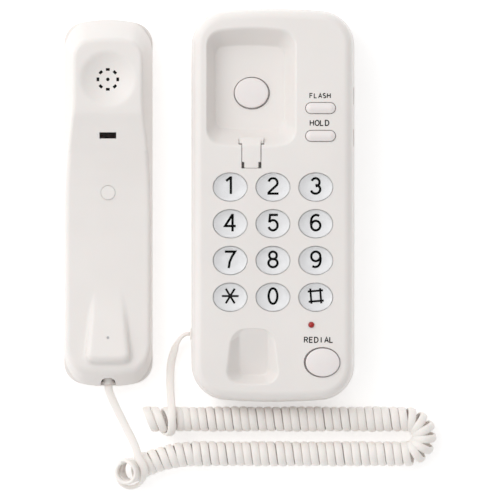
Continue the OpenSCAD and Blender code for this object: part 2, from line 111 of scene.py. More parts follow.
def lights():
    """A light tent that is brighter towards the upper left, and one large soft lamp there."""
    world = bpy.data.worlds.new("studio")
    world.use_nodes = True
    tree = world.node_tree
    place = tree.nodes.new("ShaderNodeTexCoord").outputs["Generated"]
    towards = tree.nodes.new("ShaderNodeVectorMath")
    towards.operation = "DOT_PRODUCT"
    towards.inputs[1].default_value = Vector((-0.76, 0.52, 0.45)).normalized()
    tree.links.new(place, towards.inputs[0])
    level = tree.nodes.new("ShaderNodeMapRange")
    level.interpolation_type = "SMOOTHSTEP"
    level.inputs["From Min"].default_value = -0.5
    level.inputs["From Max"].default_value = 0.95
    level.inputs["To Min"].default_value = 0.52
    level.inputs["To Max"].default_value = 1.05
    tree.links.new(towards.outputs["Value"], level.inputs["Value"])
    background = tree.nodes["Background"]
    background.inputs["Color"].default_value = (1.0, 0.997, 0.993, 1)
    tree.links.new(level.outputs["Result"], background.inputs["Strength"])
    bpy.context.scene.world = world
    area_light("key_light", place=(-0.6, 0.38, 0.85), target=(-0.03, 0, 0), size=0.7, watts=2.5)
    bpy.context.scene.view_settings.view_transform = "Standard"


# ---------------------------------------------------------------- mesh helpers
def new_object(name, points, faces):
    """A mesh object from points in millimetres, with its faces turned outwards."""
    mesh = bpy.data.meshes.new(name)
    mesh.from_pydata((np.asarray(points, float) * MM).tolist(), [], [list(map(int, f)) for f in faces])
    work = bmesh.new()
    work.from_mesh(mesh)
    bmesh.ops.recalc_face_normals(work, faces=work.faces)
    work.to_mesh(mesh)
    work.free()
    made = bpy.data.objects.new(name, mesh)
    bpy.context.scene.collection.objects.link(made)
    return made


def loft_data(rings):
    """Points and faces of a closed skin through rings that all have as many points."""
    n, m = len(rings[0]), len(rings)
    points = np.concatenate(rings)
    faces = [range(n)]
    for k in range(m - 1):
        for i in range(n):
            j = (i + 1) % n
            faces.append([k * n + i, k * n + j, (k + 1) * n + j, (k + 1) * n + i])
    faces.append(range((m - 1) * n, m * n))
    return points, faces


def loft(name, rings):
    return new_object(name, *loft_data(rings))


def at_height(flat, z):
    return np.column_stack([flat, np.full(len(flat), float(z))])


def outline(width, length, radius, arch, inset=0.0, corner=20, crown=8):
    """Rounded rectangle with arched ends, anticlockwise, drawn in by inset."""
    width, length = width - 2 * inset, length - 2 * inset
    radius, arch = max(radius - inset, 1.0), arch - inset
    low = length / 2 - arch
    mid = low + math.sqrt((arch - radius) ** 2 - (width / 2 - radius) ** 2)
    turn = math.atan2(mid - low, width / 2 - radius)
    a = np.linspace(0, turn, corner + 1)
    b = np.linspace(turn, math.pi / 2, crown + 1)[1:]
    quarter = np.concatenate([
        np.column_stack([width / 2 - radius + radius * np.cos(a), mid + radius * np.sin(a)]),
        np.column_stack([arch * np.cos(b), low + arch * np.sin(b)])])
    left = quarter[-2::-1] * (-1, 1)
    return np.concatenate([quarter, left, -quarter, quarter[-2::-1] * (1, -1)])


def ellipse(width, height, n=72):
    a = np.arange(n) * 2 * math.pi / n
    return np.column_stack([width / 2 * np.cos(a), height / 2 * np.sin(a)])


def stadium(width, height, n=24):
    a = np.linspace(-math.pi / 2, math.pi / 2, n)
    right = np.column_stack([(width - height) / 2 + height / 2 * np.cos(a), height / 2 * np.sin(a)])
    return np.concatenate([right, -right])


def box(name, low, high):
    """A plain block, used only to cut other meshes."""
    flat = np.array([(low[0], low[1]), (high[0], low[1]), (high[0], high[1]), (low[0], high[1])])
    return loft(name, [at_height(flat, low[2]), at_height(flat, high[2])])


def prism(name, flat, low, high):
    return loft(name, [at_height(flat, low), at_height(flat, high)])


def hole_cutter(name, shape, width, height, place, low, high, chamfer=0.25):
    """Cutter for a hole of that shape with a fine chamfer at height high."""
    rings = [(0, low), (0, high - chamfer), (2 * chamfer, high), (2 * chamfer, high + 1.5)]
    return loft(name, [at_height(shape(width + g, height + g) + place, z) for g, z in rings])


def combine(target, others, operation="DIFFERENCE"):
    """Boolean of target with each of the others, which are used up."""
    for other in others:
        step = target.modifiers.new("step", "BOOLEAN")
        step.operation = operation
        step.solver = "MANIFOLD"
        step.object = other
        bpy.context.view_layer.update()
        ready = target.evaluated_get(bpy.context.evaluated_depsgraph_get())
        mesh = bpy.data.meshes.new_from_object(ready)
        target.modifiers.remove(step)
        target.data = mesh
        bpy.data.objects.remove(other)


def smooth(made, angle=38, weighted=True):
    """Smooth shading with sharp edges above the angle."""
    made.data.shade_smooth()
    made.data.set_sharp_from_angle(angle=math.radians(angle))
    if weighted:
        normals = made.modifiers.new("normals", "WEIGHTED_NORMAL")
        normals.keep_sharp = True
    return made


def finish_piece(made, body, nodes, material):
    """The piece gets its material, rides on its body and stands for its CAD nodes."""
    made.data.materials.clear()
    made.data.materials.append(material)
    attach(made, body)
    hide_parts(*nodes)


# ---------------------------------------------------------------- signed fields for the handset
def round_both(a, b, r):
    """Where both fields are negative, with the edge between them rounded to radius r."""
    reach = np.sqrt(np.maximum(a + r, 0) ** 2 + np.maximum(b + r, 0) ** 2)
    return reach - r + np.minimum(np.maximum(a, b) + r, 0)


def round_either(a, b, r):
    """Where either field is negative, with a fillet of radius r where they meet."""
    return -round_both(-a, -b, r)


def surface(name, field, low, high, step):
    """The closed surface where field is zero, as a surface net whose points are then set on it."""
    axes = [np.arange(low[k], high[k] + step, step) for k in range(3)]
    values = field(axes[0][:, None, None], axes[1][None, :, None], axes[2][None, None, :])
    values = np.ascontiguousarray(np.broadcast_to(values, [len(a) for a in axes]))
    shape = tuple(n - 1 for n in values.shape)
    total, count = np.zeros(shape + (3,)), np.zeros(shape)
    inside = values < 0
    quads = []
    cell = np.arange(int(np.prod(shape))).reshape(shape)
    for k in range(3):
        u, v = (k + 1) % 3, (k + 2) % 3
        first = np.moveaxis(values, k, 0)[:-1]
        second = np.moveaxis(values, k, 0)[1:]
        cross = np.moveaxis(inside, k, 0)[:-1] != np.moveaxis(inside, k, 0)[1:]
        spot = np.argwhere(cross)
        share = first[cross] / (first[cross] - second[cross])
        index = np.empty_like(spot)
        order = [k] + [i for i in range(3) if i != k]
        for place, axis in enumerate(order):
            index[:, axis] = spot[:, place]
        point = index.astype(float)
        point[:, k] += share
        corners = []
        for du, dv in ((-1, -1), (0, -1), (0, 0), (-1, 0)):
            at = index.copy()
            at[:, u] += du
            at[:, v] += dv
            np.add.at(total, tuple(at.T), point)
            np.add.at(count, tuple(at.T), 1)
            corners.append(cell[tuple(at.T)])
        quads.append(np.column_stack(corners))
    used = count.ravel() > 0
    points = total.reshape(-1, 3)[used] / count.ravel()[used, None]
    points = points * step + np.array([a[0] for a in axes])
    number = np.cumsum(used) - 1
    quads = number[np.concatenate(quads)]
    tiny = 0.02
    for _ in range(3):
        here = field(*points.T)
        slope = np.column_stack([field(*(points + tiny * np.eye(3)[k]).T) - here for k in range(3)]) / tiny
        size = np.maximum((slope ** 2).sum(1), 0.25)
        points = points - np.clip(here / size, -step, step)[:, None] * slope
    return new_object(name, points, quads)


# ---------------------------------------------------------------- base mouldings
def base_ring(inset, z):
    return at_height(outline(BASE_W, BASE_L, BASE_R, BASE_ARCH, inset), z)


def rolled_rings(start, drop, low):
    """Rings drawn in by start, from low up to the face less drop, over a rolled edge."""
    roll, draft, steps = 4.8, 1.5, 14
    rings = [base_ring(start, low)]
    for a in np.linspace(0, math.pi / 2, steps):
        inset = start + draft + roll * (1 - math.cos(a))
        rings.append(base_ring(inset, FACE_Z - drop - roll * (1 - math.sin(a))))
    return rings


def eased(t, foot, head):
    """Height of a sloping wall: 0 at t 0 and 1 at t 1, rounded over the shares foot and head."""
    steep = 1 / (1 - foot / 2 - head / 2)
    rise = steep * (t - foot / 2)
    rise = np.where(t < foot, steep * t * t / (2 * foot), rise)
    return np.where(t > 1 - head, 1 - steep * (1 - t) ** 2 / (2 * head), rise)


def hollow(name, bed, rim, depth, foot, head, grow):
    """Solid of a recess with sloping walls, its depth a function of y. Grown, it is a plain liner."""
    steps = 26
    shares = [0] if grow else np.linspace(0, 1, steps)
    rings = []
    for t in shares:
        flat = bed + (rim - bed) * t
        drop = (depth(flat[:, 1]) + grow) * (1 - float(eased(np.array(t), foot, head)))
        rings.append(np.column_stack([flat, FACE_Z - drop]))
    rings.append(at_height(rim, FACE_Z - 0.2 if grow else FACE_Z + 2))
    return loft(name, rings)


def well_depth(y):
    return np.full(y.shape, FACE_Z - FLOOR_Z)


def well(grow=0.0):
    """The recess that takes the earpiece end of the handset."""
    rim = outline(51.2 + 2 * grow, 69 + 2 * grow, 9.5 + grow, 120) + (WELL_X, WELL_Y)
    bed = outline(38.3 + 2 * grow, 46.3 + 2 * grow, 5 + grow, 150) + (WELL_X - 0.9, WELL_Y + 0.3)
    return hollow("well", bed, rim, well_depth, 0.12, 0.22, grow)


def pocket_depth(y):
    """Depth of the pocket's ramp, which starts just under its upper edge."""
    start_y, start_depth, slope = -69.5, 0.3, 0.37
    return np.maximum(start_depth + slope * (start_y - y), start_depth)


def pocket(grow=0.0):
    """A ramp that runs down from the face to a short steep wall at its lower end."""
    middle = (WELL_X + 0.5, -85.2)
    rim = outline(30.6 + 2 * grow, 32.6 + 2 * grow, 8 + grow, 60)
    narrowing = 0.24 * np.clip((rim[:, 1] + 8) / 24, 0, 1) ** 1.4
    rim[:, 0] *= 1 - narrowing
    bed = outline(14.8 + 2 * grow, 25.4 + 2 * grow, 3.5 + grow, 60)
    return hollow("pocket", bed + middle + (0.9, 3.0), rim + middle, pocket_depth, 0.25, 0.25, grow)


def key_places():
    """Each key's name and the x and y of its middle."""
    for i, name in enumerate(KEY_NAMES):
        yield name, (i % 3 - 1) * KEY_DX, KEY_TOP_Y - (i // 3) * KEY_DY


def clip_channel():
    """Cutters for the clip's channel, for the two nicks at its closed end and for its ears."""
    half, nick, ears = 5.6, 1.5, 7.2
    left, right = WELL_X - half, WELL_X + half
    return [
        box("channel", (left, 20.6, FACE_Z - 3), (right, 42, FACE_Z + 2)),
        box("channel", (left, 20.6, FACE_Z - 7), (left + nick, 24.0, FACE_Z - 2)),
        box("channel", (right - nick, 20.6, FACE_Z - 7), (right, 24.0, FACE_Z - 2)),
        box("channel", (WELL_X - ears, 34, FACE_Z - 6), (WELL_X + ears, 42, FACE_Z + 2))]


def button_holes():
    """Cutters for the holes of the keys, the buttons and the indicator."""
    low, span, fine = FACE_Z - WALL - 1.5, 2 * GAP, 0.1
    key_w, key_h = KEY_W + 2 * KEY_GAP, KEY_H + 2 * KEY_GAP
    holes = [hole_cutter("hole", ellipse, key_w, key_h, (x, y), low, FACE_Z) for _, x, y in key_places()]
    redial_at = (REDIAL_AT[0] - 0.4, REDIAL_AT[1] + 0.1)
    holes.append(hole_cutter("hole", ellipse, KEY_W + 1.5, KEY_H + 1.2, redial_at, low, FACE_Z, fine))
    for place in SLIM_AT.values():
        holes.append(hole_cutter("hole", stadium, SLIM_W + span, SLIM_H + span, place, low, FACE_Z))
    led_hole = 2 * LED_R + 0.2
    holes.append(hole_cutter("hole", ellipse, led_hole, led_hole, LED_AT, low, FACE_Z, fine))
    hook_at, hook_w, hook_h = (HOOK_AT[0] + 0.2, HOOK_AT[1] - 0.2), HOOK_W + 1.3, HOOK_H + 1.3
    hook_low = FLOOR_Z - WALL - 1
    holes.append(hole_cutter("hole", ellipse, hook_w, hook_h, hook_at, hook_low, FLOOR_Z, fine))
    return holes


def knob_slots():
    """Cutters for each slide knob's slot and for the shallow recess round it."""
    recess_x, outside = 44.9, 50
    cutters = []
    for y in KNOB_Y:
        low, high = y - KNOB_SLOT / 2, y + KNOB_SLOT / 2
        reach = KNOB_H / 2 + GAP
        cutters.append(box("slot", (40, low, KNOB_Z - reach), (outside, high, KNOB_Z + reach)))
        cutters.append(box("recess", (recess_x, low, KNOB_Z - 2.8), (outside, high, KNOB_Z + 4.6)))
    return cutters


def base_front_shell(material):
    shell = loft("base_front_shell_moulding", rolled_rings(0, 0, SEAM_Z))
    combine(shell, [loft("cavity", rolled_rings(WALL, WALL, SEAM_Z - 1))])
    liner = box("liner", (WELL_X - 9.4, 20, FACE_Z - 8.2), (WELL_X + 9.4, 37, FACE_Z - 0.2))
    combine(shell, [well(WALL), pocket(WALL), liner], "UNION")
    combine(shell, [well(), pocket()] + clip_channel() + button_holes() + knob_slots())
    finish_piece(smooth(shell), "base", ["base_front_shell"], material)


def rear_openings():
    """Cutters for all that goes through or into the rear cover."""
    cutters = []
    for place in SCREWS_AT:
        cutters.append(prism("bore", ellipse(3.4, 3.4, 24) + place, -1, SEAM_Z + 1))
        cutters.append(prism("bore", ellipse(6, 6, 32) + place, -1, 3))
    for place in FEET_AT:
        cutters.append(prism("recess", ellipse(10.2, 10.2, 40) + place, -1, 1.2))
    for y in (-KEYHOLE_Y, KEYHOLE_Y):
        cutters.append(prism("keyhole", ellipse(9, 9, 40) + (0, y), -1, WALL + 1))
        cutters.append(prism("keyhole", stadium(14, 4.6)[:, ::-1] + (0, y + 4.3), -1, WALL + 1))
    for k in range(SOUND_COUNT):
        a = 2 * math.pi * k / SOUND_COUNT
        place = (SOUND_R * math.cos(a), SOUND_Y + SOUND_R * math.sin(a))
        cutters.append(prism("sound", ellipse(2, 2, 20) + place, -1, WALL + 1))
    jack_low = (JACK_X - JACK_W / 2, BASE_L / 2 - 5, WALL + 0.2)
    jack_high = (JACK_X + JACK_W / 2, BASE_L / 2 + 4, WALL + 11)
    cutters.append(box("jack", jack_low, jack_high))
    cord_exit = prism("exit", ellipse(6.6, 6.6, 32), -3, 3)
    cord_exit.rotation_euler = (0, math.pi / 2, 0)
    cord_exit.location = (EXIT_X * MM, EXIT_Y * MM, EXIT_Z * MM)
    cutters.append(cord_exit)
    return cutters


def base_rear_cover(material):
    profile = [(2.8, 0), (1.7, 0.35), (1.0, 1.0), (0.55, 2.2), (0.3, 4.0), (0, 13.6), (0.35, 13.8),
               (0.35, SEAM_Z)]
    cover = loft("base_rear_moulding", [base_ring(inset, z) for inset, z in profile])
    combine(cover, [loft("cavity", [base_ring(WALL + 0.8, WALL), base_ring(WALL, SEAM_Z + 1)])])
    combine(cover, [prism("boss", ellipse(7, 7, 32) + place, 1, SEAM_Z) for place in SCREWS_AT], "UNION")
    combine(cover, rear_openings())
    finish_piece(smooth(cover), "base", ["base_rear_cover"], material)


# ---------------------------------------------------------------- keys, buttons and clip
def bowl(x, y):
    """Height of the concave plate under a key's clear dome, for points from the key's middle."""
    middle_z, rise, flat_share = 36.2, 1.7, 0.42
    reach = np.sqrt((x / (KEY_W / 2)) ** 2 + (y / (KEY_H / 2)) ** 2)
    return middle_z + rise * np.clip((reach - flat_share) / (1 - flat_share), 0, 1) ** 1.8


def bowl_ring(share, lift):
    """One oval of the plate at that share of the key's size, raised by lift."""
    flat = ellipse(KEY_W * share, KEY_H * share)
    return np.column_stack([flat, bowl(flat[:, 0], flat[:, 1]) + lift])


def key_body(name, x, y, material):
    """Stem, retaining flange and the concave plate, in one loft."""
    stem, flange_low = 8, FLANGE_TOP - FLANGE_T
    flange_w, flange_h = KEY_W + 2 * LIP, KEY_H + 2 * LIP
    rings = [(stem, stem, STEM_Z), (stem, stem, flange_low), (flange_w, flange_h, flange_low),
             (flange_w, flange_h, FLANGE_TOP), (KEY_W, KEY_H, FLANGE_TOP)]
    stack = [at_height(ellipse(w, h), z) for w, h, z in rings]
    stack += [bowl_ring(share, 0) for share in np.linspace(0.985, 0.03, 26)]
    made = loft("key_plate_" + name, [ring + (x, y, 0) for ring in stack])
    finish_piece(smooth(made), "key_" + name, ["key_body_" + name], material)


def key_lens(name, x, y, material):
    """The clear dome, whose underside follows the plate."""
    top = [(1.0, 38.3), (0.995, 38.7), (0.975, 39.1), (0.94, 39.45), (0.89, 39.72), (0.8, 40.0),
           (0.66, 40.24), (0.5, 40.4), (0.3, 40.48), (0.1, 40.5)]
    stack = [bowl_ring(share, 0.12) for share in np.linspace(0.03, 0.985, 20)]
    stack += [at_height(ellipse(KEY_W * share, KEY_H * share), z) for share, z in top]
    made = loft("key_dome_" + name, [ring + (x, y, 0) for ring in stack])
    finish_piece(smooth(made, 70), "key_" + name, ["key_lens_" + name], material)


def button(name, shape, width, height, place, top, body, node, material, drop=0.0):
    """A button on its flange and stem, with a rounded edge and a slightly domed top."""
    dome, edge, roll = 0.5, 1.1, 1.8
    stem, flange = min(8, height), FLANGE_TOP - drop
    under = flange - FLANGE_T
    rings = [(stem - width, stem - height, STEM_Z), (stem - width, stem - height, under),
             (2 * LIP, 2 * LIP, under), (2 * LIP, 2 * LIP, flange), (0, 0, flange), (0, 0, top - edge)]
    for a in np.linspace(0, math.pi / 2, 7)[1:]:
        inset = -roll * (1 - math.cos(a))
        rings.append((inset, inset, top - dome - (edge - dome) * (1 - math.sin(a))))
    for share in (0.75, 0.5, 0.25, 0.05):
        inset = -roll - (height - 2) * (1 - share)
        rings.append((inset, inset, top - dome * share ** 2))
    made = loft(name, [at_height(shape(width + a, height + b) + place, z) for a, b, z in rings])
    finish_piece(smooth(made), body, [node], material)


def hook_button(material):
    """The oval button in the well, on its flange and stem."""
    stem, stem_z, flange, flange_t = 6, 17.2, 3, 2
    top, dome, edge, roll = 27.8, 0.5, 1.4, 2.4
    under = FLOOR_Z - WALL - 2.5
    rings = [(stem - HOOK_W, stem - HOOK_H, stem_z), (stem - HOOK_W, stem - HOOK_H, under),
             (flange, flange, under), (flange, flange, under + flange_t), (0, 0, under + flange_t),
             (0, 0, top - edge)]
    for a in np.linspace(0, math.pi / 2, 8)[1:]:
        inset = -roll * (1 - math.cos(a))
        rings.append((inset, inset, top - dome - (edge - dome) * (1 - math.sin(a))))
    for share in (0.7, 0.4, 0.1):
        inset = -roll - 13.8 * (1 - share)
        rings.append((inset, inset, top - dome * share ** 2))
    stack = [at_height(ellipse(HOOK_W + a, HOOK_H + b) + HOOK_AT, z) for a, b, z in rings]
    made = loft("hook_button_cap", stack)
    finish_piece(smooth(made), "hook_button", ["hook_switch_button"], material)


def clip(material):
    """The sliding tab: level with the face, then bent down over the edge of the well."""
    thick, edge = 1.9, 0.35
    path = [(20.75, 37.9, 6.3), (21.1, 38.05, 7.9), (24.1, 38.05, 8.1), (24.3, 38.05, 10.5),
            (32.4, 38.05, 10.5), (33.6, 37.85, 10.5), (34.8, 37.2, 10.5), (36.4, 35.9, 10.5),
            (38.0, 34.4, 10.3)]
    rings = []
    for y, z, width in path:
        half = width / 2
        section = [(-half, z - thick), (half, z - thick), (half, z - edge), (half - edge, z),
                   (edge - half, z), (-half, z - edge)]
        rings.append(np.array([(WELL_X + x, y, high) for x, high in section]))
    made = loft("clip_tab", rings)
    ears = box("ears", (WELL_X - 6.8, 34.6, 32.4), (WELL_X + 6.8, 38.0, 35.2))
    combine(made, [ears], "UNION")
    finish_piece(smooth(made, 50), "clip", ["handset_clip"], material)


def slide_knob(name, y, body, node, material):
    """A slider's knob, level with the side wall, with three ribs across its face."""
    back, groove, crest = 42.5, 44.9, 45.3
    ribs = ((-2.3, -1.9, -1.2, -0.9), (-0.6, -0.3, 0.3, 0.6), (0.9, 1.2, 1.9, 2.3))
    profile = [(back, ribs[0][0])]
    for foot, low, high, far_foot in ribs:
        profile += [(groove, foot), (crest, low), (crest, high), (groove, far_foot)]
    profile.append((back, ribs[-1][-1]))
    made = prism(name, np.array(profile) + (0, y), KNOB_Z - KNOB_H / 2, KNOB_Z + KNOB_H / 2)
    finish_piece(smooth(made), body, [node], material)


# ---------------------------------------------------------------- figures and words
def arc(x, y, rx, ry, start, end):
    """Points of an elliptical arc, by angles in degrees."""
    n = max(6, int(abs(end - start) / 12))
    a = np.radians(np.linspace(start, end, n + 1))
    return np.column_stack([x + rx * np.cos(a), y + ry * np.sin(a)])


def stroke(*parts):
    """One path through points and arcs."""
    return np.concatenate([np.atleast_2d(np.array(part, float)) for part in parts])


def figures():
    """Strokes of each key's figure, in a box 6.2 wide and 9.8 high round the origin."""
    top = 4.3
    return {
        "1": [stroke((-2.3, 2.4), (0.0, 4.2), (0.35, 4.6)), stroke((0.35, 4.9), (0.35, -4.9))],
        "2": [stroke(arc(0, 1.75, 2.5, 2.55, 165, -28), (-2.0, -3.3), (-2.75, -top)),
              stroke((-3.1, -top), (3.1, -top))],
        "3": [arc(-0.1, 2.05, 2.2, 2.25, 160, -88), arc(-0.1, -1.9, 2.6, 2.4, 92, -165)],
        "4": [stroke((3.1, -1.9), (-2.9, -1.9), (1.1, top)), stroke((1.3, 4.9), (1.3, -4.9))],
        "5": [stroke((2.75, top), (-1.6, top), (-2.1, 0.1)), arc(0, -1.45, 2.55, 2.85, 143, -160)],
        "6": [stroke(arc(0.3, 1.2, 2.8, 3.1, 55, 160), arc(0.0, 0.0, 2.7, 4.0, 170, 200)),
              arc(0, -1.65, 2.55, 2.65, 0, 360)],
        "7": [stroke((-3.0, top), (2.7, top), (1.0, 1.6), (-0.3, -1.4), (-0.85, -4.9))],
        "8": [arc(0, 2.2, 2.1, 2.1, 0, 360), arc(0, -2.05, 2.55, 2.3, 0, 360)],
        "9": [stroke(arc(-0.3, -1.2, 2.8, 3.1, 235, 340), arc(0.0, 0.0, 2.7, 4.0, 350, 380)),
              arc(0, 1.65, 2.55, 2.65, 0, 360)],
        "star": [stroke((-4.7, 0), (4.7, 0)), stroke((-2.5, 4.1), (2.5, -4.1)),
                 stroke((2.5, 4.1), (-2.5, -4.1))],
        "0": [arc(0, 0, 2.45, top, 0, 360)],
        "hash": [stroke((-4.5, 2.5), (4.0, 3.2)), stroke((-4.0, -3.2), (4.5, -2.5)),
                 stroke((-3.1, 4.2), (-2.4, -top)), stroke((2.4, 4.4), (3.1, -4.1))],
    }


def letters():
    """Strokes of the letters on the labels, one unit high and 0.7 wide from the origin."""
    return {
        "A": [stroke((0, 0), (0.36, 1), (0.72, 0)), stroke((0.14, 0.33), (0.58, 0.33))],
        "D": [stroke((0, 0), (0, 1), arc(0.25, 0.5, 0.42, 0.5, 90, -90), (0, 0))],
        "E": [stroke((0.6, 1), (0, 1), (0, 0), (0.6, 0)), stroke((0, 0.52), (0.52, 0.52))],
        "F": [stroke((0.6, 1), (0, 1), (0, 0)), stroke((0, 0.52), (0.5, 0.52))],
        "H": [stroke((0, 0), (0, 1)), stroke((0.66, 0), (0.66, 1)), stroke((0, 0.52), (0.66, 0.52))],
        "I": [stroke((0.3, 0), (0.3, 1))],
        "L": [stroke((0, 1), (0, 0), (0.56, 0))],
        "O": [arc(0.36, 0.5, 0.38, 0.5, 0, 360)],
        "R": [stroke((0, 0), (0, 1), arc(0.32, 0.76, 0.3, 0.24, 90, -90), (0, 0.52)),
              stroke((0.3, 0.52), (0.64, 0))],
        "S": [stroke(arc(0.33, 0.75, 0.27, 0.25, 40, 270), arc(0.33, 0.25, 0.29, 0.25, 90, -140))],
    }


def ribbon(path, width):
    """Both edges of a flat stroke along a path, with repeated points left out, and whether it is closed."""
    moved = np.linalg.norm(np.diff(path, axis=0), axis=1) > 1e-6
    path = path[np.concatenate([[True], moved])]
    closed = np.allclose(path[0], path[-1])
    ahead = np.roll(path, -1, 0) - path
    if closed:
        path, ahead = path[:-1], ahead[:-1]
        behind = np.roll(ahead, 1, 0)
    else:
        ahead[-1] = ahead[-2]
        behind = np.concatenate([ahead[:1], ahead[:-1]])
    ahead = ahead / np.linalg.norm(ahead, axis=1)[:, None]
    behind = behind / np.linalg.norm(behind, axis=1)[:, None]
    along = ahead + behind
    along = along / np.linalg.norm(along, axis=1)[:, None]
    side = np.column_stack([-along[:, 1], along[:, 0]])
    spread = np.clip((side * np.column_stack([-ahead[:, 1], ahead[:, 0]])).sum(1), 0.5, 1)
    side = side * (width / 2 / spread)[:, None]
    return path - side, path + side, closed


def print_on(name, strokes, width, height_at, body, material):
    """Printed strokes that lie on a surface, each a thin closed solid a little higher than the last."""
    thick, rise, foot = 0.05, 0.012, 0.01
    points, faces, first = [], [], 0
    for level, path in enumerate(strokes):
        right, left, closed = ribbon(path, width)
        n = len(right)
        for edge in (right, left):
            ground = height_at(edge[:, 0], edge[:, 1])
            points.append(np.column_stack([edge, ground + foot]))
            points.append(np.column_stack([edge, ground + thick + rise * level]))
        a, b, c, d = (first + k * n for k in range(4))
        for i in range(n if closed else n - 1):
            j = (i + 1) % n
            faces += [[b + i, b + j, d + j, d + i], [a + i, c + i, c + j, a + j],
                      [a + i, a + j, b + j, b + i], [c + i, d + i, d + j, c + j]]
        if not closed:
            faces += [[a, b, d, c], [a + n - 1, c + n - 1, d + n - 1, b + n - 1]]
        first += 4 * n
    made = new_object(name, np.concatenate(points), faces)
    made.data.materials.append(material)
    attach(made, body)


def plate_of(key_x, key_y):
    """The height of a key's plate, as a function of x and y."""
    def height(x, y):
        return bowl(x - key_x, y - key_y)
    return height


def face_height(x, _):
    return np.full(x.shape, FACE_Z)


def divided(path, count=4):
    """The path with count steps along each of its segments."""
    steps = [np.linspace(p, q, count + 1)[:-1] for p, q in zip(path[:-1], path[1:])]
    return np.concatenate(steps + [path[-1:]])


def print_figures(material):
    raised, weights = {"1": 1.05}, {"star": 1.1, "hash": 1.1}
    for name, x, y in key_places():
        lift = raised.get(name, 0.65)
        paths = [divided(path + (0, lift)) + (x, y) for path in figures()[name]]
        print_on("figure_" + name, paths, weights.get(name, 1.3), plate_of(x, y), "key_" + name, material)


def print_words(material):
    shapes = letters()
    labels = [("FLASH", 26.5, 61.4, 2.5), ("HOLD", 26.2, 46.1, 2.9), ("REDIAL", 25.8, -75.6, 2.9)]
    for word, x, y, tall in labels:
        step = tall * 0.98
        start = x - step * len(word) / 2 + 0.12 * tall
        paths = []
        for i, letter in enumerate(word):
            paths += [path * tall + (start + i * step, y - tall / 2) for path in shapes[letter]]
        print_on("label_" + word.lower(), paths, 0.19 * tall, face_height, "base", material)


# ---------------------------------------------------------------- handset
def profile_table():
    """Height of the handset's face along its length, with its bends smoothed."""
    places = [-120, -60, -40, -15, 0, 10, 20, 30, 40, 51.5, 55, 90, 120]
    heights = [24.6, 22.4, 21.9, 21.9, 22.5, 23.5, 25.0, 27.1, 29.6, 32.6, 32.7, 33.0, 33.2]
    fine = np.arange(-120, 120.01, 0.5)
    raw = np.interp(fine, places, heights)
    kernel = np.hanning(13)
    padded = np.pad(raw, 6, mode="edge")
    return fine, np.convolve(padded, kernel / kernel.sum(), mode="valid")


PROFILE = profile_table()
GRIP_SLOPE, EAR_SLOPE, END_SLOPE_TOP, END_SLOPE_LOW, SLOPE_Z = 0.16, 0.31, 0.6, 0.85, 14.5


def handset_body(x, y, z):
    """The handset without its hump and dish: sloping sides and ends under an arched face."""
    u, v = x - HAND_X, y - HAND_Y
    above = np.maximum(z - SLOPE_Z, 0)
    lean = np.interp(y, [10, 60], [GRIP_SLOPE, EAR_SLOPE])
    side = (np.abs(u) - HAND_W / 2 + lean * above) / np.hypot(1, lean)
    centre = HAND_L / 2 - HAND_ARCH
    slope = np.where(v > 0, END_SLOPE_TOP, END_SLOPE_LOW)
    reach = np.sqrt(u ** 2 + (np.abs(v) - centre) ** 2)
    end = (reach - HAND_ARCH + slope * above) / np.sqrt(1 + slope ** 2)
    end = np.where(np.abs(v) > 20, end, -60.0)
    corner = np.maximum(HAND_R - 0.3 * above, 5)
    plan = round_both(side, end, corner)
    tilt = 0.96
    face = (z - np.interp(y, *PROFILE)) * tilt
    edge = np.where(y > 30, 1.5, 2.2)
    return round_both(plan, face, edge)


def handset_hump(x, y, z):
    """The wedge that rises to the microphone."""
    u = np.abs(x - HAND_X)
    foot = 9.2 + 4.0 * np.clip((-50 - y) / 39, 0, 1)
    side = u - foot + 0.1 * (z - GRIP_Z)
    end = (-89.8 - y + 0.004 * u ** 2 + 0.36 * (z - GRIP_Z)) / 1.06
    plan = round_both(side, end, 4.0)
    face = (z - (GRIP_Z + 0.21 * (-52.5 - y))) / 1.02
    return round_both(plan, face, 2.8)


def handset_field(x, y, z, wall=0.0, floor_z=HAND_SEAM - 1.5):
    """The handset's face, drawn in by wall and closed below at floor_z."""
    return np.maximum(handset_skin(x, y, z) + wall, floor_z - z)


def handset_skin(x, y, z):
    """The body and the hump, less the ball that makes the ear dish."""
    body = round_either(handset_body(x, y, z), handset_hump(x, y, z), 1.4)
    ball, low = 34.0, 29.2
    dish = np.sqrt((x - HAND_X) ** 2 + (y - EAR_Y) ** 2 + (z - low - ball) ** 2) - ball
    return round_both(body, -dish, 0.6)


def cord_notch(low, high):
    """Cutter for the notch in the handset's lower end, which the cord comes out of."""
    half, back, corner = 4.3, -97.4, 3.2
    flat = np.concatenate([arc(HAND_X + half - corner, back - corner, corner, corner, 0, 90),
                           arc(HAND_X - half + corner, back - corner, corner, corner, 90, 180),
                           [(HAND_X - half, -108), (HAND_X + half, -108)]])
    return prism("notch", flat, low, high)


def handset_inside(x, y, z):
    return handset_field(x, y, z, 2.0, HAND_SEAM - 3.5)


def ear_holes():
    """Cutters for the middle hole of the ear dish and the ring of slots round it."""
    low, high, count = 20, 34, 8
    inner, outer, half = 4.8, 6.35, 1.08
    slot = np.array([(inner, -half), (outer, -half), (outer, half), (inner, half)])
    cutters = [prism("hole", ellipse(2, 2, 24) + (HAND_X, EAR_Y), low, high)]
    for k in range(count):
        a = 2 * math.pi * k / count
        turn = np.array([(math.cos(a), math.sin(a)), (-math.sin(a), math.cos(a))])
        cutters.append(prism("slot", slot @ turn + (HAND_X, EAR_Y), low, high))
    return cutters


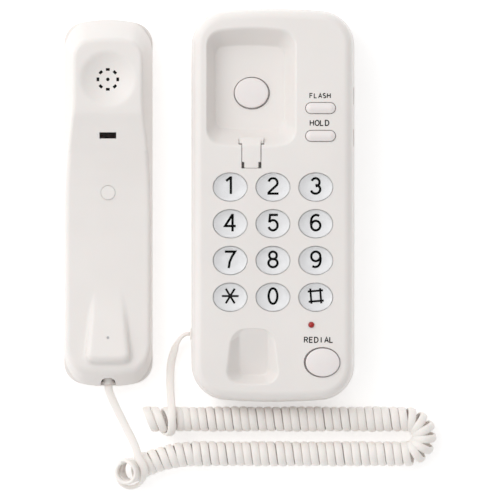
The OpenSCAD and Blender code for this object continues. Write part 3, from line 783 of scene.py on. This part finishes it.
def handset_front_shell(material):
    low, high = (-120, -105, HAND_SEAM - 3), (-65.5, 108, EAR_Z + 2)
    shell = surface("handset_face_moulding", handset_field, low, high, 0.68)
    combine(shell, [surface("cavity", handset_inside, (-120, -105, HAND_SEAM - 6), high, 1.7)])
    pad = box("pad", (HAND_X - 7, SLOT_Y - 4, GRIP_Z + 0.8), (HAND_X + 7, SLOT_Y + 4, GRIP_Z + 6))
    seat = prism("seat", ellipse(20, 20, 64) + (HAND_X, EAR_Y), 26.5, 29.15)
    combine(shell, [pad, seat], "UNION")
    cutters = [box("below", (-130, -120, 0), (-50, 120, HAND_SEAM)), cord_notch(HAND_SEAM - 1, 24)]
    cutters += ear_holes()
    cutters.append(box("slot", (HAND_X - 4.75, SLOT_Y - 1.75, 18), (HAND_X + 4.75, SLOT_Y + 1.75, 34)))
    cutters.append(prism("cover", ellipse(8.2, 8.2, 48) + (HAND_X, COVER_Y), COVER_Z - 1.5, 26))
    cutters.append(prism("mic", ellipse(1.6, 1.6, 20) + (HAND_X, MIC_Y), GRIP_Z + 2, 34))
    combine(shell, cutters)
    finish_piece(smooth(shell, 30, weighted=False), "handset", ["handset_front_shell"], material)


def handset_ring(inset, z):
    return at_height(outline(HAND_W, HAND_L, HAND_R, HAND_ARCH, inset) + (HAND_X, HAND_Y), z)


def handset_rear_shell(material):
    profile = [(5.4, 0), (4.2, 0.15), (3.1, 0.6), (2.1, 1.4), (1.3, 2.6), (0.7, 4.2), (0.35, 6), (0, 10.7),
               (0.3, 10.85), (0.3, HAND_SEAM)]
    shell = loft("handset_back_moulding", [handset_ring(inset, z) for inset, z in profile])
    inside = [handset_ring(6, 2), handset_ring(2.6, 6), handset_ring(2, HAND_SEAM + 1)]
    combine(shell, [loft("cavity", inside)])
    combine(shell, [prism("boss", ellipse(8, 8, 32) + (HAND_X, COVER_Y), 1, HAND_SEAM)], "UNION")
    pilot = prism("pilot", ellipse(3, 3, 24) + (HAND_X, COVER_Y), 3, 13)
    combine(shell, [pilot, cord_notch(6.8, HAND_SEAM + 1)])
    finish_piece(smooth(shell), "handset", ["handset_rear_shell"], material)


# ---------------------------------------------------------------- cord
COIL_R = (COIL_D - CORD_T) / 2
ROW_Y, LOW_ROW_Y, TURN_X, COIL_Z = -120.6, -140.2, 75.5, 7.4
PITCH = 4.68

BASE_TAIL = [  # metres, from the base's left side down beside it and up onto the coil
    (-0.0467, -0.0725, 0.0080), (-0.0489, -0.0725, 0.0080), (-0.0516, -0.0742, 0.0078),
    (-0.0540, -0.0776, 0.0072), (-0.0558, -0.0824, 0.0060), (-0.0570, -0.0866, 0.0050),
    (-0.0577, -0.0910, 0.0045), (-0.0579, -0.0960, 0.0050), (-0.0579, -0.1010, 0.0068),
    (-0.0577, -0.1060, 0.0098), (-0.0574, -0.1105, 0.0134), (-0.0571, -0.1145, 0.0162),
    (-0.0569, -0.1185, 0.0176)]
END_LOOP = [  # metres, counterclockwise round the coil's tilted end and up over its front
    (-0.0822, -0.1430, 0.0156), (-0.0863, -0.1452, 0.0112), (-0.0883, -0.1506, 0.0070),
    (-0.0868, -0.1562, 0.0044), (-0.0820, -0.1594, 0.0034), (-0.0766, -0.1582, 0.0046),
    (-0.0734, -0.1551, 0.0088), (-0.0726, -0.1522, 0.0130), (-0.0724, -0.1490, 0.0156)]
HANDSET_TAIL = [  # metres, from the coil's left end up to the handset
    (-0.0738, -0.1455, 0.0166), (-0.0758, -0.1420, 0.0163), (-0.0766, -0.1390, 0.0159),
    (-0.0780, -0.1350, 0.0152), (-0.0799, -0.1310, 0.0143), (-0.0820, -0.1270, 0.0134),
    (-0.0840, -0.1230, 0.0126), (-0.0860, -0.1190, 0.0119), (-0.0880, -0.1150, 0.0114),
    (-0.0899, -0.1110, 0.0111), (-0.0916, -0.1070, 0.0110), (-0.0926, -0.1040, 0.0110),
    (-0.0928, -0.1011, 0.0110)]


def ramp(value, low, high):
    """0 below low, 1 above high, and smooth between."""
    t = np.clip((value - low) / (high - low), 0, 1)
    return t * t * (3 - 2 * t)


def unit(vectors):
    return vectors / np.linalg.norm(vectors, axis=1)[:, None]


def spaced(points, *columns, count=None, spacing=None):
    """Places at even steps along the line through the points, and each column's values there."""
    step = np.linalg.norm(np.diff(points, axis=0), axis=1)
    place = np.concatenate([[0], np.cumsum(step)])
    even = np.linspace(0, place[-1], count or int(place[-1] / spacing))
    return even, [np.column_stack([np.interp(even, place, c[:, k]) for k in range(3)]) for c in columns]


def coil_z(x):
    """Height of the coil's middle on its upper row, which rises at the left end."""
    return COIL_Z + 2.4 * ramp(-x, 48, 61)


def tilted_tip(end):
    """The last of the coil's middle line, which bends up and then runs straight."""
    bend, past = 7.0, np.arange(0.5, 4.6, 0.5)
    rise = np.radians(np.arange(2, 75, 4))
    tip = np.column_stack([bend * np.sin(rise), bend * (1 - np.cos(rise))])
    tip = np.vstack([tip, tip[-1] + np.outer(past, (math.cos(rise[-1]), math.sin(rise[-1])))])
    return np.column_stack([end + np.outer(tip[:, 0], (-0.936, -0.351)), COIL_Z + tip[:, 1]])


def coil_axis():
    """Points, closely spaced, along the middle of the coil, and its direction at each."""
    bend = (ROW_Y - LOW_ROW_Y) / 2
    x = np.arange(-68.6, TURN_X, 0.5)
    upper = np.column_stack([x, np.full(len(x), ROW_Y), coil_z(x)])
    a = np.radians(np.arange(90, -90.1, -3))
    turn = at_height(np.column_stack([TURN_X + bend * np.cos(a), ROW_Y - bend + bend * np.sin(a)]), COIL_Z)
    x = np.arange(TURN_X - 0.5, -75.6, -0.5)
    lower_y = np.interp(-x, [46, 54, 62, 70, 75.6], [LOW_ROW_Y, -141.0, -142.8, -145.3, -147.8])
    lower = np.column_stack([x, lower_y, np.full(len(x), COIL_Z)])
    points = np.concatenate([upper, turn, lower, tilted_tip(lower[-1, :2])])
    even, (points,) = spaced(points, points, count=1400)
    kernel = np.hanning(15)
    kernel /= kernel.sum()
    padded = np.pad(points, ((7, 7), (0, 0)), mode="reflect", reflect_type="odd")
    points = np.column_stack([np.convolve(padded[:, k], kernel, mode="valid") for k in range(3)])
    return even, points, unit(np.gradient(points, axis=0))


def coil_turns():
    """The helix's points and outward directions, slightly uneven from turn to turn."""
    per_turn = 26
    place, axis, along = coil_axis()
    turns = math.floor(place[-1] / PITCH - 1 / 3) + 1 / 3
    angle = np.linspace(0, turns * 2 * math.pi, int(turns * per_turn))
    at = angle / angle[-1] * place[-1]
    middle = np.column_stack([np.interp(at, place, axis[:, k]) for k in range(3)])
    ahead = unit(np.column_stack([np.interp(at, place, along[:, k]) for k in range(3)]))
    side = unit(np.column_stack([-ahead[:, 1], ahead[:, 0], np.zeros(len(at))]))
    up = np.cross(ahead, side)
    out = side * np.cos(angle)[:, None] + up * np.sin(angle)[:, None]
    uneven = 0.12 * np.sin(0.71 * angle / 6.2 + 1) + 0.10 * np.sin(1.93 * angle / 6.2)
    slip = 0.10 * np.sin(0.83 * angle / 6.2) + 0.08 * np.sin(2.3 * angle / 6.2 + 2)
    lean = 0.26 * (1 - ramp(at, 3, 14)) * COIL_R * np.cos(angle)
    spread = 1.8 * (1 - ramp(at, 0, 15))
    points = middle + out * (COIL_R + uneven)[:, None] + ahead * (slip - lean - spread)[:, None]
    return points, out


def curve_through(points):
    """Smooth curve through the points, with a few steps between each two of them."""
    count = 5
    ends = np.vstack([2 * points[0] - points[1], points, 2 * points[-1] - points[-2]])
    t = np.linspace(0, 1, count, endpoint=False)[:, None]
    parts = []
    for a, b, c, d in zip(ends, ends[1:], ends[2:], ends[3:]):
        parts.append(b + 0.5 * t * (c - a + t * (2 * a - 5 * b + 4 * c - d + t * (3 * b - a - 3 * c + d))))
    return np.vstack(parts + [points[-1:]])


def first_loop():
    """From the crossing over the upper row, under the coil and up at its left end."""
    wide = 8.6
    a = np.radians(np.arange(95, 356, 12))
    share = (a - a[0]) / (2 * math.pi - a[0])
    radius = wide + (COIL_R - wide) * ramp(share, 0.72, 1.0)
    x = -56.9 - 13.5 * ramp(share, 0.12, 1.0)
    out = np.column_stack([np.zeros(len(a)), np.cos(a), np.sin(a)])
    return np.column_stack([x, ROW_Y + radius * np.cos(a), coil_z(x) + radius * np.sin(a)]), out


def last_loop():
    """Round the outside of the coil's last turn and up over its front."""
    points = np.array(END_LOOP) / MM
    ring_middle, coil_middle = np.array((-82.6, -150.4)), np.array((-147.0, COIL_Z))
    round_ring = unit(np.column_stack([points[:, :2] - ring_middle, np.zeros(len(points))]))
    over_coil = unit(np.column_stack([np.zeros(len(points)), points[:, 1:] - coil_middle]))
    share = ramp(np.arange(len(points)), 5, 8)[:, None]
    return points, round_ring * (1 - share) + over_coil * share


def first_tail():
    """The uncoiled end at the base, whose flat side turns from sideways to upwards."""
    points = np.array(BASE_TAIL) / MM
    twist = ramp(-points[:, 1], 74, 86)[:, None] * math.pi / 2
    along = np.gradient(points, axis=0)
    level = unit(np.column_stack([-along[:, 1], along[:, 0], np.zeros(len(points))]))
    return points, np.array((0, 0, 1)) * np.sin(twist) - level * np.cos(twist)


def last_tail():
    """The uncoiled end at the handset, flat side up."""
    points = np.array(HANDSET_TAIL) / MM
    return points, np.tile((0.0, 0.0, 1.0), (len(points), 1))


def cord_route():
    """The whole centreline at even steps, and the way that the cord's flat side faces."""
    tail_in, loop_in, helix = np.hstack(first_tail()), np.hstack(first_loop()), np.hstack(coil_turns())
    end = np.vstack([np.hstack(last_loop()), np.hstack(last_tail())])
    route = np.vstack([curve_through(tail_in), loop_in, helix, curve_through(end)])
    points, outs = route[:, :3], route[:, 3:]
    for _ in range(2):
        points[1:-1] = (points[:-2] + 2 * points[1:-1] + points[2:]) / 4
    _, (points, outs) = spaced(points, points, outs, spacing=1.5)
    return points, outs


def cord_rings(points, outs):
    """Sections of the flat cord with round edges, one at each point of its centreline."""
    sides, half_w, half_t = 14, CORD_W * 0.52, CORD_T / 2
    along = unit(np.gradient(points, axis=0))
    wide = unit(np.cross(along, outs))
    thin = np.cross(wide, along)
    a = 2 * math.pi * np.arange(sides) / sides
    across = half_w * np.sign(np.cos(a)) * np.abs(np.cos(a)) ** 0.88
    through = half_t * np.sign(np.sin(a)) * np.abs(np.sin(a)) ** 0.85
    return [points[k] + np.outer(across, wide[k]) + np.outer(through, thin[k]) for k in range(len(points))]


def cord(material):
    points, outs = cord_route()
    made = loft("handset_cord", cord_rings(points, outs))
    made.data.materials.append(material)
    made.data.shade_smooth()
    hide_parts("cord_tail_base", "cord_coil", "cord_tail_handset")
    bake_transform(made)


# ---------------------------------------------------------------- materials
def textured(name, colour, rough, grain=900.0, bump=0.04, blotch=18.0, spread=0.03, coat=0.0, subsurface=0.0,
             metallic=0.0, ior=1.5):
    """Moulded plastic, metal or rubber: fine grain in the bump, soft changes of tone and gloss."""
    material = bpy.data.materials.new(name)
    material.use_nodes = True
    tree = material.node_tree
    shader = tree.nodes["Principled BSDF"]
    place = tree.nodes.new("ShaderNodeTexCoord").outputs["Object"]
    cloud = tree.nodes.new("ShaderNodeTexNoise")
    cloud.inputs["Scale"].default_value = blotch
    cloud.inputs["Detail"].default_value = 3
    tree.links.new(place, cloud.inputs["Vector"])
    tone = tree.nodes.new("ShaderNodeValToRGB")
    tone.color_ramp.elements[0].position = 0.3
    tone.color_ramp.elements[1].position = 0.7
    tone.color_ramp.elements[0].color = [c * (1 - spread) for c in colour] + [1]
    tone.color_ramp.elements[1].color = [min(1, c * (1 + spread * 0.5)) for c in colour] + [1]
    tree.links.new(cloud.outputs["Fac"], tone.inputs["Fac"])
    tree.links.new(tone.outputs["Color"], shader.inputs["Base Color"])
    gloss = tree.nodes.new("ShaderNodeMapRange")
    gloss.inputs["To Min"].default_value = rough - 0.05
    gloss.inputs["To Max"].default_value = rough + 0.05
    tree.links.new(cloud.outputs["Fac"], gloss.inputs["Value"])
    tree.links.new(gloss.outputs["Result"], shader.inputs["Roughness"])
    speck = tree.nodes.new("ShaderNodeTexNoise")
    speck.inputs["Scale"].default_value = grain
    speck.inputs["Detail"].default_value = 2
    tree.links.new(place, speck.inputs["Vector"])
    relief = tree.nodes.new("ShaderNodeBump")
    relief.inputs["Strength"].default_value = bump
    relief.inputs["Distance"].default_value = 0.0002
    tree.links.new(speck.outputs["Fac"], relief.inputs["Height"])
    tree.links.new(relief.outputs["Normal"], shader.inputs["Normal"])
    shader.inputs["Coat Weight"].default_value = coat
    shader.inputs["Subsurface Weight"].default_value = subsurface
    shader.inputs["Subsurface Radius"].default_value = (0.004, 0.002, 0.0015)
    shader.inputs["Subsurface Scale"].default_value = 0.4
    shader.inputs["Metallic"].default_value = metallic
    shader.inputs["IOR"].default_value = ior
    return material


def clear_plastic(name):
    material = textured(name, (0.98, 0.985, 0.99), 0.1, bump=0.01, spread=0.004, ior=1.22)
    shader = material.node_tree.nodes["Principled BSDF"]
    shader.inputs["Transmission Weight"].default_value = 1.0
    shader.inputs["Alpha"].default_value = 0.22
    shader.inputs["Specular IOR Level"].default_value = 0.35
    return material


def black_ink(name):
    material = textured(name, (0.003, 0.003, 0.003), 0.8, blotch=300, spread=0.3)
    material.node_tree.nodes["Principled BSDF"].inputs["Specular IOR Level"].default_value = 0.05
    return material


def red_lens_painted_glow(name):
    material = textured(name, (0.33, 0.004, 0.004), 0.2, coat=0.15)
    shader = material.node_tree.nodes["Principled BSDF"]
    # The faint red emission is a painted glow: the indicator is not lit, and the emission only brightens the
    # red of its lens.
    shader.inputs["Emission Color"].default_value = (0.8, 0.02, 0.01, 1)
    shader.inputs["Emission Strength"].default_value = 0.06
    return material


def make_materials():
    white = (0.83, 0.795, 0.772)
    return {
        "housing": textured("housing_plastic", white, 0.42, subsurface=0.1),
        "button": textured("button_plastic", (0.84, 0.795, 0.785), 0.36, subsurface=0.1),
        "cord": textured("cord_pvc", (0.92, 0.88, 0.845), 0.5, grain=1500, bump=0.12, subsurface=0.1),
        "steel": textured("plated_steel", (0.62, 0.62, 0.64), 0.3, metallic=1.0, bump=0.1),
        "rubber": textured("grey_rubber", (0.2, 0.2, 0.2), 0.8, bump=0.2),
        "circuit_board": textured("solder_resist", (0.03, 0.16, 0.06), 0.4, blotch=60, spread=0.25),
        "black_plastic": textured("black_moulding", (0.02, 0.018, 0.017), 0.5, bump=0.15),
        "led": red_lens_painted_glow("red_lens"),
        "key_lens": clear_plastic("clear_acrylic"),
        "key_plate": textured("pearl_grey", (0.80, 0.80, 0.81), 0.45, blotch=160, spread=0.02),
        "ink": black_ink("black_ink"),
    }


def dress_frame(materials):
    """Each CAD node that still shows takes the material of its slot."""
    for part in frame["record"]["subparts"]:
        node = frame["nodes"][part["node"]]
        node.data.materials.clear()
        node.data.materials.append(materials[part["material_slot"]])


def floor():
    size = 3.0
    corners = [(-size, -size, 0), (size, -size, 0), (size, size, 0), (-size, size, 0)]
    mesh = bpy.data.meshes.new("floor")
    mesh.from_pydata(corners, [], [(0, 1, 2, 3)])
    made = bpy.data.objects.new("floor", mesh)
    bpy.context.scene.collection.objects.link(made)
    pale = textured("pale_floor", (0.94, 0.94, 0.94), 0.9, blotch=3, spread=0.0, bump=0.0)
    glow = pale.node_tree.nodes["Principled BSDF"]
    glow.inputs["Emission Color"].default_value = (1, 1, 1, 1)
    glow.inputs["Emission Strength"].default_value = 0.3
    mesh.materials.append(pale)


# ---------------------------------------------------------------- the scene
materials = make_materials()
camera()
cord(materials["cord"])
dress_frame(materials)
base_front_shell(materials["housing"])
base_rear_cover(materials["housing"])
for key, key_x, key_y in key_places():
    key_body(key, key_x, key_y, materials["key_plate"])
    key_lens(key, key_x, key_y, materials["key_lens"])
for slim, slim_place in SLIM_AT.items():
    slim_body = slim.replace("_button", "")
    button(slim + "_cap", stadium, SLIM_W, SLIM_H, slim_place, 39.5, slim_body, slim, materials["button"])
button("redial_button_cap", ellipse, KEY_W, KEY_H, REDIAL_AT, 40.0, "redial", "redial_button",
       materials["button"], drop=0.8)
hook_button(materials["button"])
slide_knob("volume_knob_cap", KNOB_Y[0], "volume_knob", "ringer_volume_knob", materials["button"])
slide_knob("mode_knob_cap", KNOB_Y[1], "mode_knob", "dial_mode_knob", materials["button"])
clip(materials["housing"])
print_figures(materials["ink"])
print_words(materials["ink"])
handset_front_shell(materials["housing"])
handset_rear_shell(materials["housing"])
floor()
lights()
